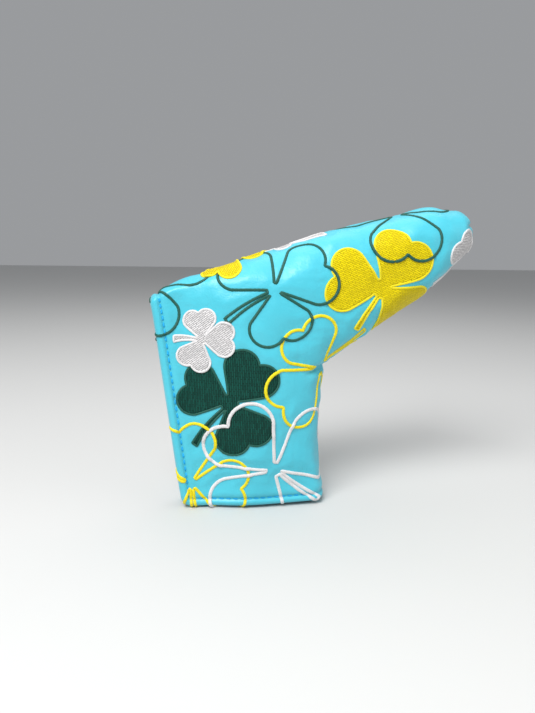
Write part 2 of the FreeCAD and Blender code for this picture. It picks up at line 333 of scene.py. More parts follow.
def base_surface(plan, side):
    """Points and normals of the outer face before any relief. side is -1 or 1 for each point."""
    distance, inside, _ = closed_distance(plan)
    near = np.maximum(0.3 - distance, 0)[:, None]
    probe = plan + inside * near
    step = 0.05
    slope_x = height_squared(probe + [step, 0]) - height_squared(probe - [step, 0])
    slope_z = height_squared(probe + [0, step]) - height_squared(probe - [0, step])
    y = side * np.sqrt(np.maximum(height_squared(plan), 0))
    points = np.column_stack([plan[:, 0], y, plan[:, 1]])
    normals = np.column_stack([-slope_x, 4 * step * y, -slope_z])
    return points, units(normals)


def search_tree(places):
    """A tree that finds the places nearest to a point."""
    tree = kdtree.KDTree(len(places))
    for i, place in enumerate(places):
        tree.insert(place, i)
    tree.balance()
    return tree


class Softness:
    """How the padded body moved in the cloth simulation, as a smooth field."""

    def __init__(self, places, moves):
        self.moves = moves
        self.tree = search_tree(places)

    def at(self, points):
        result = np.zeros_like(points)
        for i, point in enumerate(points):
            found = self.tree.find_n(point, 8)
            weights = np.array([1.0 / (entry[2] ** 2 + 4.0) for entry in found])
            chosen = self.moves[[entry[1] for entry in found]]
            result[i] = (weights[:, None] * chosen).sum(axis=0) / weights.sum()
        return result


softness = None
thread_tree = None


def thread_distance(points):
    """Distance to the nearest sewn thread, where the padding is pulled flat."""
    if thread_tree is None:
        return np.full(len(points), NO_THREAD)
    return np.array([thread_tree.find(point)[2] for point in points])


def crease(plan, start, direction, before, reach):
    """A fold that runs inwards from a plan point: its strength, and the distance across it."""
    away = plan - start
    along = away @ unit(np.array(direction))
    strength = smooth(-before, 1.0, along) * (1 - smooth(3.0, reach, along))
    return strength, away @ inward(unit(np.array(direction)))


def hem_relief(rim, along):
    """The stitch groove with a pucker at each stitch, and the swellings on both sides of it."""
    pucker = 0.5 + 0.5 * np.cos(2 * math.pi * along / STITCH_PITCH)
    groove = form(rim - STITCH_INSET, *GROOVE) + pucker * form(rim - STITCH_INSET, *PUCKER)
    return groove + sum(form(rim - middle, *size) for middle, size in RIM_SWELLINGS.items())


def seam_relief(plan, distance, is_ridge):
    """The seam under the pocket and round the toe, with short wrinkles beside it."""
    arc = EDGE_ROUND * np.arccos(np.clip(1 - distance / EDGE_ROUND, -1, 1))
    nose = smooth(143.0, 151.0, plan[:, 1])
    seam = np.where(plan[:, 0] > 68.0, 1 - nose, np.where(is_ridge, 0.0, 1.0))
    wrinkle = 0.5 + 0.5 * np.cos(plan[:, 0] * 1.1 + plan[:, 1] * 0.7)
    return seam * (form(arc, *SEAM) + wrinkle * form(arc - WRINKLE_AT, *SEAM_WRINKLE))


def toe_relief(plan, points):
    """The pit where the seam ends at the toe, with gathers, a dimple on each side and a tuck."""
    dimple = lengths(np.abs(points) - TOE_DIMPLES_AT)
    reach = lengths(points - TOE_CENTRE)
    spoke = 0.5 + 0.5 * np.cos(6 * np.arctan2(points[:, 1], points[:, 2] - TOE_CENTRE[2]) + 1.0)
    tuck, across = crease(plan, TOE_CENTRE[[0, 2]], (-1.0, -0.2), 1.0, 10.0)
    height = form(dimple, *TOE_DIMPLE) + form(reach, *TOE_PIT)
    return height + spoke * form(reach - GATHER_AT, *TOE_GATHER) + tuck * form(across, *TOE_TUCK)


def elbow_relief(plan):
    """The crease that the sharp inner corner presses into the leather."""
    strength, across = crease(plan, ELBOW, (-1.0, -0.22), 2.0, 15.0)
    swelling = form(np.abs(across) - SWELLING_AT, *ELBOW_SWELLING)
    return strength * (form(across, *ELBOW_CREASE) + swelling)


def relief(plan, points, threads):
    """How far the leather stands above its base surface."""
    distance, _, is_ridge = closed_distance(plan)
    rim, _, along = nearest(RIM_RUN, plan)
    quilted = QUILT_RISE - form(threads, QUILT_RISE, QUILT_REACH) - QUILT_SINK
    lumps = [sum(rise * noise.noise(Vector(p) / size) for rise, size in LUMPS) for p in points]
    total = quilted * smooth(3.0, 12.0, rim) + np.array(lumps) * smooth(2.0, 14.0, rim)
    total += hem_relief(rim, along) + seam_relief(plan, distance, is_ridge)
    return total + toe_relief(plan, points) + elbow_relief(plan)


def wall_points(plan, side, lift=0.0, roll=None, threads=None, settled=False):
    """Points and outward normals at a height over the outer face.

    roll is the angle that the leather has turned round a rim's edge, and the direction of
    the rim there: 0 on the outer face and pi on the inner one. A settled layer is a lower
    one, which only the deep grooves reach.
    """
    plan = np.asarray(plan, float)
    side = np.broadcast_to(np.asarray(side, float), (len(plan),))
    points, normals = base_surface(plan, side)
    rim, _, _ = nearest(RIM_RUN, plan)
    if threads is None:
        threads = thread_distance(points)
    height = relief(plan, points, threads)
    if settled:
        height = np.minimum(0, height + 1.0)
    points[:, 2] += form(lengths(plan - PLAIN[HEEL_TOP][0]), *HEEL_DROP)
    if softness is not None:
        points = points + softness.at(points) * smooth(SOFT_FROM, SOFT_FULL, rim)[:, None]
    if roll is not None:
        angle, rim_in = roll
        height = height * (1 - smooth(0.0, math.pi / 2, angle))
        depth = ROLL * (1 - np.cos(angle))
        outward = np.column_stack([-rim_in[:, 0], np.zeros(len(plan)), -rim_in[:, 1]])
        points = points - normals * depth[:, None]
        normals = units(normals * np.cos(angle)[:, None] + outward * np.sin(angle)[:, None])
    return points + normals * (height + lift)[:, None], normals


def unroll(flat):
    """Where points of the flat cut leather lie on the cover.

    The flat leather goes on past the closed edges and the rims of the front view. Gives
    plan points, +1 where a point stays on its side and -1 where it went over the ridge,
    the roll round a rim, and which points exist at all.
    """
    distance, inside, is_ridge = closed_distance(flat)
    foot = flat - inside * distance[:, None]
    arc = distance + UNROLLED
    seam = ~is_ridge | (flat[:, 0] > 72.0)
    exists = ~(seam & (arc < 0.7))
    arc = np.where(exists, arc, 0.7)
    turned = np.abs(arc)
    depth = EDGE_ROUND * (1 - np.cos(np.minimum(turned, QUARTER) / EDGE_ROUND))
    depth = depth + np.maximum(turned - QUARTER, 0)
    plan = foot + inside * depth[:, None]
    rim, rim_in, _ = nearest(RIM_RUN, plan)
    angle = np.clip((ROLL - rim) / ROLL, 0, math.pi)
    inset = np.where(rim < ROLL, ROLL * (1 - np.sin(angle)), rim)
    plan = plan + rim_in * (inset - rim)[:, None]
    return plan, np.where(arc < 0, -1.0, 1.0), (angle, rim_in), exists & (rim > -4.5)


# ---- meshes

def mesh_piece(name, points, faces, materials, uvs=None, slots=None, normals=None):
    """A smooth mesh object from millimetre points."""
    mesh = bpy.data.meshes.new(name)
    mesh.from_pydata((np.asarray(points) * MM).tolist(), [], [list(f) for f in faces])
    for material in materials:
        mesh.materials.append(material)
    mesh.polygons.foreach_set("use_smooth", [True] * len(mesh.polygons))
    if slots is not None:
        mesh.polygons.foreach_set("material_index", slots)
    if uvs is not None:
        layer = mesh.uv_layers.new(name="thread")
        corners = np.zeros(len(mesh.loops), int)
        mesh.loops.foreach_get("vertex_index", corners)
        layer.data.foreach_set("uv", np.asarray(uvs)[corners].ravel())
    mesh.update()
    if normals is not None:
        mesh.normals_split_custom_set_from_vertices(np.asarray(normals).tolist())
    obj = bpy.data.objects.new(name, mesh)
    bpy.context.collection.objects.link(obj)
    return obj


def flipped(faces):
    return [tuple(reversed(face)) for face in faces]


def quads(rows):
    """Four-sided faces between neighbouring rows of vertex numbers."""
    return [
        (low[i], low[i + 1], high[i + 1], high[i])
        for low, high in zip(rows, rows[1:]) for i in range(len(low) - 1)
    ]


def tube_rows(count, size, start=0):
    """Rows of vertex numbers that each go once round a tube."""
    return [[start + j * size + k % size for k in range(size + 1)] for j in range(count)]


def hem_rows(outer, inner=(), steps=8):
    """Rim distance and roll angle of each row, from the outer face round to the inner one."""
    turns = [math.pi * i / steps for i in range(1, steps + 1)]
    rolled = [(ROLL * (1 - math.sin(angle)), angle) for angle in turns]
    return [(inset, 0.0) for inset in outer] + rolled + [(inset, math.pi) for inset in inner]


def wall_grid(step, rows, arcs):
    """A mesh of the front view: plan points, roll angles, faces, and which are on the crest."""
    drops = [EDGE_ROUND * (1 - math.cos(arc / EDGE_ROUND)) for arc in arcs]
    first_inset = rows[0][0]
    plan, roll, index = [], [], {}

    def vertex(point, angle):
        key = (round(float(point[0]), 3), round(float(point[1]), 3), round(angle, 3))
        if key not in index:
            index[key] = len(plan)
            plan.append(point)
            roll.append(angle)
        return index[key]

    rim_counts = step_counts(run(moved_corners(0.0, drops[-1]), HEEL_TOP, MOUTH_NECK), step)
    rim_counts[1] = max(rim_counts[1], 8)
    hem = []
    for inset, angle in rows:
        corners = [moved_corners(inset, drop) for drop in drops]
        middle = sample(run(corners[-1], HEEL_TOP, MOUTH_NECK), rim_counts)
        line = [c[HEEL_TOP][0] for c in corners] + list(middle[1:-1])
        line += [c[MOUTH_NECK][0] for c in reversed(corners)]
        hem.append([vertex(point, angle) for point in line])
    crest_counts = step_counts(run(moved_corners(first_inset, 4.0), MOUTH_NECK, HEEL_TOP), step)
    crest = []
    for drop in drops:
        corners = moved_corners(first_inset, drop)
        line = sample(run(corners, MOUTH_NECK, HEEL_TOP), crest_counts)
        crest.append([vertex(point, rows[0][1]) for point in line])
    faces = quads(list(zip(*hem))) + quads(crest)

    block = len(drops) - 1
    ring = crest[-1] + hem[0][block + 1:len(hem[0]) - block - 1]
    boundary = [np.array(plan[i]) for i in ring]
    found = triangulated(boundary, hex_points(boundary, step))
    names = []
    for point, origin in zip(found[0], found[3]):
        known = [i for i in origin if i < len(ring)]
        names.append(ring[known[0]] if known else vertex(np.array(point), rows[0][1]))
    for face in found[2]:
        faces.append(tuple(names[i] for i in face))
    faces = [turned_anticlockwise(face, plan, roll) for face in faces]
    on_crest = sorted(set(crest[0]) | {row[0] for row in hem} | {row[-1] for row in hem})
    return np.array(plan), np.array(roll), faces, on_crest


def turned_anticlockwise(face, plan, roll):
    """Turns a face so that it runs anticlockwise on the outer face, clockwise on the inner."""
    points = np.array([plan[i] for i in face])
    following = np.roll(points, -1, axis=0)
    area = np.sum(points[:, 0] * following[:, 1] - points[:, 1] * following[:, 0])
    folded = np.mean([roll[i] for i in face]) > math.pi / 2
    return face if (area > 0) != folded else tuple(reversed(face))


def triangulated(loop, inner):
    """Triangles between the points of a loop and some points inside it."""
    edges = [(i, (i + 1) % len(loop)) for i in range(len(loop))]
    return delaunay_2d_cdt([Vector(p) for p in list(loop) + inner], edges, [], 1, 1e-5)


def hex_points(boundary, step):
    """Evenly spaced points inside a loop, clear of its edge."""
    loop = np.array(boundary)
    low, high = loop.min(axis=0), loop.max(axis=0)
    rows = np.arange(low[1], high[1], step * 0.866)
    places = []
    for j, z in enumerate(rows):
        xs = np.arange(low[0] + (j % 2) * step / 2, high[0], step)
        places.append(np.column_stack([xs, np.full(len(xs), z)]))
    places = np.concatenate(places)
    following = np.roll(loop, -1, axis=0)
    crossings = np.zeros(len(places), int)
    clear = np.ones(len(places), bool)
    for a, b in zip(loop, following):
        spans = (a[1] > places[:, 1]) != (b[1] > places[:, 1])
        if a[1] != b[1]:
            x = a[0] + (places[:, 1] - a[1]) * (b[0] - a[0]) / (b[1] - a[1])
            crossings += spans & (places[:, 0] < x)
        d = b - a
        t = np.clip(((places - a) @ d) / max(d @ d, 1e-12), 0, 1)
        gap = lengths(places - a - t[:, None] * d)
        clear &= gap > step * 0.55
    return list(places[(crossings % 2 == 1) & clear])


def side_normals(points, faces):
    """Vertex normals of a mesh, weighted by area."""
    normals = np.zeros_like(points)
    for face in faces:
        corners = points[list(face)]
        normals[list(face)] += np.cross(corners[2] - corners[0], corners[-1] - corners[1])
    return normals


def slab(points, inner, faces):
    """Closes two matching surfaces into one solid wall."""
    count = len(points)
    edges = dict.fromkeys(pair for face in faces for pair in zip(face, face[1:] + face[:1]))
    closed = faces + flipped([tuple(count + i for i in face) for face in faces])
    closed += [(b, a, count + a, count + b) for a, b in edges if (b, a) not in edges]
    return np.concatenate([points, inner]), closed


# ---- materials

def node(tree, kind, **sockets):
    """A shader node with constant values set on its input sockets."""
    made = tree.nodes.new(kind)
    for name, value in sockets.items():
        made.inputs[name.replace("_", " ")].default_value = value
    return made


def material(name, roughness, specular=0.5):
    """A material with its node tree and its main shader."""
    made = bpy.data.materials.new(name)
    made.use_nodes = True
    tree = made.node_tree
    shader = tree.nodes["Principled BSDF"]
    shader.inputs["Roughness"].default_value = roughness
    shader.inputs["Specular IOR Level"].default_value = specular
    return made, tree, shader


def place_textures(tree, coordinates, *textures):
    """Feeds textures from one kind of coordinates."""
    place = tree.nodes.new("ShaderNodeTexCoord").outputs[coordinates]
    for texture in textures:
        tree.links.new(place, texture.inputs["Vector"])


def colour_between(tree, shader, factor, dark, light):
    """Colours a shader between two colours, by a factor from another node."""
    mix = tree.nodes.new("ShaderNodeMix")
    mix.data_type = "RGBA"
    mix.inputs[6].default_value = (*dark, 1)
    mix.inputs[7].default_value = (*light, 1)
    tree.links.new(factor, mix.inputs[0])
    tree.links.new(mix.outputs[2], shader.inputs["Base Color"])


def add_bump(tree, shader, height, strength, distance, before=None):
    """A bump on a shader. before is the normal of an earlier, coarser bump."""
    bump = node(tree, "ShaderNodeBump", Strength=strength, Distance=distance)
    tree.links.new(height, bump.inputs["Height"])
    if before is not None:
        tree.links.new(before, bump.inputs["Normal"])
    tree.links.new(bump.outputs["Normal"], shader.inputs["Normal"])
    return bump.outputs["Normal"]


def leather_material(name, dark, light):
    """Soft synthetic leather: fine pebble grain, faint wrinkles and a satin finish."""
    made, tree, shader = material(name, 0.4)
    cloud = node(tree, "ShaderNodeTexNoise", Scale=42.0, Detail=3.0)
    grain = node(tree, "ShaderNodeTexVoronoi", Scale=1150.0, Randomness=1.0)
    wrinkle = node(tree, "ShaderNodeTexNoise", Scale=420.0, Detail=4.0, Distortion=0.6)
    place_textures(tree, "Object", cloud, grain, wrinkle)
    colour_between(tree, shader, cloud.outputs["Fac"], dark, light)
    coarse = add_bump(tree, shader, wrinkle.outputs["Fac"], 0.3, 0.0006)
    add_bump(tree, shader, grain.outputs["Distance"], 0.28, 0.00016, coarse)
    rough = node(tree, "ShaderNodeMapRange", To_Min=0.34, To_Max=0.48)
    tree.links.new(wrinkle.outputs["Fac"], rough.inputs["Value"])
    tree.links.new(rough.outputs["Result"], shader.inputs["Roughness"])
    shader.inputs["Sheen Weight"].default_value = 0.08
    return made


def satin_material(name, dark, light):
    """A raised satin border: threads side by side across the line, with painted shade between the
    threads and painted sheen on them.
    """
    made, tree, shader = material(name, 0.42, 0.35)
    strands = node(tree, "ShaderNodeTexWave", Scale=0.62, Distortion=0.5, Detail=1.0)
    fuzz = node(tree, "ShaderNodeTexNoise", Scale=2.2, Detail=2.0)
    place_textures(tree, "UV", strands, fuzz)
    sheen_and_tone = tree.nodes.new("ShaderNodeMath")
    sheen_and_tone.operation = "MULTIPLY_ADD"
    sheen_and_tone.inputs[1].default_value = 0.65
    tree.links.new(strands.outputs["Fac"], sheen_and_tone.inputs[0])
    tree.links.new(fuzz.outputs["Fac"], sheen_and_tone.inputs[2])
    # Painted shade between the threads and painted sheen on them, with a random tone from the
    # noise
    colour_between(tree, shader, sheen_and_tone.outputs[0], dark, light)
    add_bump(tree, shader, strands.outputs["Fac"], 0.5, 0.0002)
    return made


def fill_material(name, dark, light):
    """Rows of flat fill stitches, each starting a little after the one beside it, with painted
    shade in the gaps between stitches.
    """
    made, tree, shader = material(name, 0.5, 0.15)
    rows = node(
        tree, "ShaderNodeTexBrick", Scale=1.0, Mortar_Size=0.16, Mortar_Smooth=0.8, Bias=0.0,
        Brick_Width=3.2, Row_Height=0.85, Color1=(1.0, 1.0, 1.0, 1), Color2=(0.5, 0.5, 0.5, 1),
        Mortar=(0.0, 0.0, 0.0, 1),
    )
    rows.offset = 0.37
    place_textures(tree, "UV", rows)
    # The dark colour fills the gaps between stitches as painted shade, and the stitches themselves
    # vary in tone at random
    colour_between(tree, shader, rows.outputs["Color"], dark, light)
    add_bump(tree, shader, rows.outputs["Color"], 0.9, 0.0005)
    return made


def fibre_material(name, dark, light, scale, distance):
    """Foam, plush or tape: a mat of fibres or cells, by the scale of its noise."""
    made, tree, shader = material(name, 0.9, 0.2)
    fibres = node(tree, "ShaderNodeTexNoise", Scale=scale, Detail=6.0, Roughness=0.7)
    place_textures(tree, "Object", fibres)
    colour_between(tree, shader, fibres.outputs["Fac"], dark, light)
    add_bump(tree, shader, fibres.outputs["Fac"], 0.8, distance)
    shader.inputs["Sheen Weight"].default_value = 0.5
    return made


AQUA = leather_material("aqua_leather", (0.045, 0.45, 0.57), (0.080, 0.54, 0.66))
BACKING = fibre_material("leather_backing", (0.30, 0.42, 0.46), (0.42, 0.55, 0.60), 900.0, 0.0002)
FOAM = fibre_material("foam_padding", (0.55, 0.52, 0.40), (0.80, 0.77, 0.62), 700.0, 0.0004)
PLUSH = fibre_material("plush_lining", (0.008, 0.009, 0.012), (0.035, 0.038, 0.045), 800.0, 0.0012)
HOOK_TAPE = fibre_material("hook_tape", (0.012, 0.012, 0.014), (0.05, 0.05, 0.055), 1500.0, 0.0003)
LOOP_TAPE = fibre_material("loop_tape", (0.015, 0.015, 0.018), (0.07, 0.07, 0.075), 1100.0, 0.0006)
# Thread colours: the dark colour of each is painted shade between its threads, and the light one
# is painted sheen on them
BLUE = satin_material("blue_thread", (0.0, 0.20, 0.46), (0.01, 0.42, 0.80))
SATIN = {
    "white": satin_material("white_satin", (0.36, 0.35, 0.36), (0.80, 0.78, 0.78)),
    "yellow": satin_material("yellow_satin", (0.42, 0.34, 0.0), (0.90, 0.76, 0.005)),
    "green": satin_material("green_satin", (0.002, 0.030, 0.022), (0.010, 0.105, 0.075)),
}
# Fill colours: the dark colour of each is painted shade in the gaps between stitches
FILL = {
    "white": fill_material("white_fill", (0.38, 0.37, 0.375), (0.74, 0.72, 0.72)),
    "yellow": fill_material("yellow_fill", (0.50, 0.385, 0.0), (0.84, 0.68, 0.002)),
    "green": fill_material("green_fill", (0.0006, 0.012, 0.009), (0.006, 0.082, 0.060)),
}


# ---- embroidery

# The lobes of a leaf, as angles off its axis and shares of its length
LOBE_TURN = math.radians(19.0)
LOBE_SPREAD = math.radians(25.6)
LOBE_AT = 0.785
LOBE_RADIUS = 0.34

# The heart of a clover, as a share of its longest leaf, its stem's half width at both ends, and
# the gap that the stem leaves in the heart, in degrees to each side
FILLED_HEART = 0.17
LINE_HEART = 0.12
STEM_HALF_IN = 0.7
STEM_HALF_OUT = 1.5
STEM_GAP = 9
EDGE_STEP = 0.7


def evenly(line, step):
    """The same line with its points evenly spaced."""
    line = np.asarray(line)
    along = travelled(line)
    places = np.linspace(0, along[-1], max(2, round(along[-1] / step)) + 1)
    return np.column_stack([np.interp(places, along, line[:, k]) for k in (0, 1)])


def leaf_reach(off_axis, length):
    """How far a leaf reaches at an angle off its axis: two round lobes with a notch between."""
    off = abs(off_axis) - LOBE_TURN
    if abs(off) > LOBE_SPREAD:
        return 0.0
    half_chord = math.sqrt(max(LOBE_RADIUS ** 2 - (LOBE_AT * math.sin(off)) ** 2, 0))
    return length * (LOBE_AT * math.cos(off) + half_chord)


def clover_edge(centre, leaves, stem, filled):
    """The whole edge of a clover, out along its stem and back."""
    heart = (FILLED_HEART if filled else LINE_HEART) * max(leaf[1] for leaf in leaves)
    first, stem_length, *stem_half = stem
    gap = STEM_GAP if stem_length else 0
    line = []
    for degrees in range(gap, 361 - gap):
        way = math.radians(first + degrees)
        reach = heart
        for axis, length, *width in leaves:
            off = math.remainder(way - math.radians(axis), 2 * math.pi)
            reach = max(reach, leaf_reach(off / (width[0] if width else 1.0), length))
        line.append(centre + reach * heading(way))
    if not stem_length:
        return evenly(line, EDGE_STEP)
    along = heading(math.radians(first))
    aside = inward(along)
    flare = (stem_half[0] if stem_half else STEM_HALF_OUT) - STEM_HALF_IN
    left, right = [], []
    for t in np.linspace(0, 1, 13):
        reach = heart + (stem_length - heart) * t
        middle = centre + along * reach + aside * -0.035 * stem_length * math.sin(math.pi * t)
        half = STEM_HALF_IN + flare * t ** 1.3
        left.append(middle + aside * half)
        right.append(middle - aside * half)
    return evenly(line + right + left[::-1] + line[:1], EDGE_STEP)


def embroidered(flat, side, lift):
    """Places flat embroidery points on the cover."""
    plan, over, roll, exists = unroll(np.asarray(flat))
    points, normals = wall_points(plan, side * over, lift, roll, np.zeros(len(flat)))
    return points, normals, exists


CORD_SLOT, FILL_SLOT = 0, 1


class Cloth:
    """Collects the points, faces, thread directions and material numbers of one object."""

    def __init__(self):
        self.points, self.faces, self.uvs, self.slots = [], [], [], []

    def add(self, points, faces, uvs, slot):
        start = len(self.points)
        self.points.extend(points)
        self.uvs.extend(uvs)
        self.faces.extend(tuple(start + i for i in face) for face in faces)
        self.slots.extend([slot] * len(faces))

    def made(self, name, materials):
        return mesh_piece(name, self.points, self.faces, materials, self.uvs, self.slots)


def cord(cloth, points, normals, width, height, lift, sink=0.35):
    """A raised cord along points, with a half-round top and a base sunk in the leather."""
    if len(points) < 3:
        return
    across = units(np.cross(normals, units(np.gradient(points, axis=0))))
    along = travelled(points)
    count = len(points)
    i = np.arange(count)
    shake = 1 + 0.05 * np.sin(i * 2.1) + 0.04 * np.sin(i * 3.7 + 1.0)
    ends = np.minimum(i, count - 1 - i)
    taper = np.where(ends == 0, 0.55, 1.0)
    section = [(*heading(math.pi * k / 7), 0) for k in range(8)]
    section += [(-1.0, 0.0, 1), (1.0, 0.0, 1)]
    rings, uvs = [], []
    for k, (aside, above, base) in enumerate(section):
        rise = np.full(count, -sink) if base else lift * taper + height * above * taper * shake
        offset = aside * width / 2 * taper * shake
        rings.append(points + across * offset[:, None] + normals * rise[:, None])
        uvs.append(np.column_stack([along + 0.35 * aside, np.full(count, k * width / 7)]))
    size = len(section)
    flat_points = np.stack(rings, axis=1).reshape(-1, 3)
    flat_uvs = np.stack(uvs, axis=1).reshape(-1, 2)
    faces = quads(tube_rows(count, size))
    faces.append(tuple(reversed(range(size))))
    faces.append(tuple(range((count - 1) * size, count * size)))
    cloth.add(flat_points, faces, flat_uvs, CORD_SLOT)


def sewn_line(cloth, flat, side, width, height, lift):
    """A cord along a flat line, with gaps where the line runs off the leather."""
    points, normals, exists = embroidered(flat, side, 0.0)
    start = None
    for i in range(len(flat) + 1):
        here = i < len(flat) and exists[i]
        if here and start is None:
            start = i
        if not here and start is not None:
            cord(cloth, points[start:i], normals[start:i], width, height, lift[start:i])
            start = None


def sewn_fill(cloth, edge, side, below, axis):
    """A patch of fill stitches inside a flat edge."""
    ring = evenly(np.vstack([edge, edge[:1]]), 1.0)[:-1]
    found = triangulated(ring, hex_points(ring, 1.3))
    flat = np.array([tuple(p) for p in found[0]])
    top, _, exists = embroidered(flat, side, 0.3 + climb(flat, side, below))
    bottom, _, _ = embroidered(flat, side, -0.35)
    faces = [tuple(face) for face in found[2] if any(exists[i] for i in face)]
    zero = np.zeros(len(flat))
    faces = [turned_anticlockwise(face, flat, zero) for face in faces]
    points, closed = slab(top, bottom, faces if side == FRONT else flipped(faces))
    direction = heading(math.radians(axis))
    uvs = np.column_stack([flat @ direction, flat @ inward(direction)])
    cloth.add(points, closed, np.vstack([uvs, uvs]), FILL_SLOT)


def turned(direction, length):
    """Three leaves and a stem of the usual proportions, for a clover that points one way."""
    leaves = [(direction + turn, length) for turn in (-9, 101, -113)]
    return leaves, (direction + 180, 1.05 * length)


# Each clover: whether it is filled or only outlined, its centre, its leaves and its stem. Its
# name says its thread and whether it is on the back. A leaf is a direction, a length and
# sometimes a share of the usual width. A stem is a direction, a length and sometimes half its
# width. Later clovers go over earlier ones.
CLOVERS = {
    "green_large": (
        True, (-46.8, 58.2), [(53.5, 24.6), (159.8, 23), (-65.5, 24.8)], (234, 29.3)),
    "yellow_toe": (
        True, (29.1, 115.2), [(168, 27, 0.96), (58.3, 27.6), (-42.5, 28.8)], (240.7, 24.2)),
    "white_toe": (True, (83.3, 129), [(141, 15.8, 1.12), (-50, 14)], (214, 25, 2.2)),
    "green_corner": (False, (-86.2, 126.5), [(-100, 32), (22, 26), (140, 28)], (200, 0)),
    "green_ridge": (False, (40.4, 161.5), [(-88, 30.2, 1.03), (30, 28), (159, 30)], (260, 0)),
    "yellow_elbow": (
        False, (2.8, 73.4), [(124, 25.8, 0.98), (218.5, 29.8, 0.95), (-15, 24)], (43, 28)),
    "green_outline": (
        False, (-26.4, 113.8), [(26.8, 28.5), (-77, 24.6, 1.08), (136.7, 25.5)], (214.5, 26.8)),
    "white_ridge": (True, (-21, 143.4), [(80, 26), (128, 26)], (13.5, 22.5, 3.2)),
    "yellow_heel": (True, (-47.2, 145), [(-106, 22, 0.74), (-5, 15.6), (130, 22)], (184, 0)),
    "yellow_hem": (False, (-65.9, 13.5), [(102, 29), (-6, 26.4), (208, 29)], (280, 24)),
    "white_hem": (
        False, (-23.6, 21.5), [(134, 35, 0.93), (26.5, 35.5, 0.95), (238.5, 34, 1.05)],
        (-36, 32)),
    "white_small": (True, (-60, 89.5), [(1, 14), (98, 13.2), (-113, 14.5)], (180, 14)),
    "green_back": (True, (-38, 44), *turned(110, 22)),
    "yellow_back": (True, (-28, 84), *turned(150, 20)),
    "yellow_line_back": (False, (-60, 76), *turned(10, 18)),
    "white_line_back": (False, (-12, 20), *turned(60, 24)),
    "green_line_back": (False, (50, 124), *turned(235, 17)),
    "white_back": (True, (14, 106), *turned(40, 15)),
}
LINE_WIDTH = {"white": 1.8, "yellow": 1.6, "green": 1.45}
EDGES = {
    name: clover_edge(np.array(centre), leaves, stem, filled)
    for name, (filled, centre, leaves, stem) in CLOVERS.items()
}


def side_of(name):
    return BACK if name.endswith("_back") else FRONT


def base_places(flat, side):
    """Where flat points lie before any relief, and which of them exist."""
    plan, over, _, exists = unroll(np.asarray(flat))
    return base_surface(plan, side * over)[0], exists


def find_threads(names):
    """A search tree of places under the thread of some clovers."""
    places = []
    for name in names:
        flat = EDGES[name]
        if CLOVERS[name][0]:
            flat = np.vstack([flat, hex_points(flat, 1.2)])
        points, exists = base_places(flat, side_of(name))
        places.extend(points[exists])
    return search_tree(places)


def climb(flat, side, below):
    """How much higher thread lies where it is sewn over that of earlier clovers."""
    if below is None:
        return np.zeros(len(flat))
    gaps = np.array([below.find(point)[2] for point in base_places(flat, side)[0]])
    return 0.6 * (1 - smooth(0.9, 2.3, gaps))


# ---- softening by simulation

def simulate_softness():
    """Blows up a coarse copy of the padded cover with its seams held, as the foam does."""
    rows = hem_rows((9.0, 5.0, 1.0), steps=0)
    plan, _, faces, _ = wall_grid(5.0, rows, (0.0, 2.0, 5.0, 9.0))
    points = np.vstack([base_surface(plan, side)[0] for side in (FRONT, BACK)])
    behind = [tuple(len(plan) + i for i in face) for face in faces]
    pillow = mesh_piece("pillow", points, faces + flipped(behind), [])
    bpy.ops.object.select_all(action="DESELECT")
    bpy.context.view_layer.objects.active = pillow
    pillow.select_set(True)
    bpy.ops.object.mode_set(mode="EDIT")
    bpy.ops.mesh.select_all(action="SELECT")
    bpy.ops.mesh.remove_doubles(threshold=0.0002)
    bpy.ops.mesh.select_all(action="DESELECT")
    bpy.ops.mesh.select_non_manifold(extend=False)
    bpy.ops.mesh.fill(use_beauty=False)
    bpy.ops.object.mode_set(mode="OBJECT")
    pillow.data.remesh_voxel_size = 0.0045
    bpy.ops.object.voxel_remesh()
    before = np.array([v.co for v in pillow.data.vertices]) / MM
    rim, _, _ = nearest(RIM_RUN, before[:, [0, 2]])
    held = pillow.vertex_groups.new(name="held")
    for i in np.where((np.abs(before[:, 1]) < 3.0) | (rim < 6.0))[0]:
        held.add([int(i)], 1.0, "ADD")
    cloth = pillow.modifiers.new("cloth", "CLOTH")
    settings = cloth.settings
    settings.quality = 6
    settings.mass = 0.25
    settings.tension_stiffness = 18
    settings.compression_stiffness = 18
    settings.bending_stiffness = 0.4
    settings.shrink_min = -0.05
    settings.use_pressure = True
    settings.uniform_pressure_force = 4.0
    settings.effector_weights.gravity = 0.0
    settings.vertex_group_mass = "held"
    settings.pin_stiffness = 1.0
    cloth.point_cache.frame_start = 1
    cloth.point_cache.frame_end = SOFT_FRAMES
    for number in range(1, SOFT_FRAMES + 1):
        bpy.context.scene.frame_set(number)
    bent = pillow.evaluated_get(bpy.context.evaluated_depsgraph_get())
    after = np.array([v.co for v in bent.data.vertices]) / MM
    bpy.context.scene.frame_set(1)
    bpy.data.objects.remove(pillow)
    moves = after - before
    size = lengths(moves)
    moves *= SOFT_SHARE * (np.minimum(size, SOFT_LIMIT) / (size + 1e-9))[:, None]
    return Softness(before.tolist(), moves)


softness = simulate_softness()
thread_tree = find_threads(CLOVERS)

# ---- walls

BEND_OUT = -inward(unit(BEND_TOP - BEND_BOTTOM))


def attach(obj, points):
    """Bakes a piece's transform where it stays, or fixes it to the shell if it is wholly beyond
    the bend.
    """
    plan = np.asarray(points)[:, [0, 2]]
    if ((plan - BEND_TOP) @ BEND_OUT).min() >= BEND_START:
        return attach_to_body(obj, "shell")
    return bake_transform(obj)


def stand_for(name):
    """Hides the CAD nodes that a piece takes the place of."""
    nodes = [name + "_" + body for body in BODIES]
    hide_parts(*(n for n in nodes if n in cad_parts))


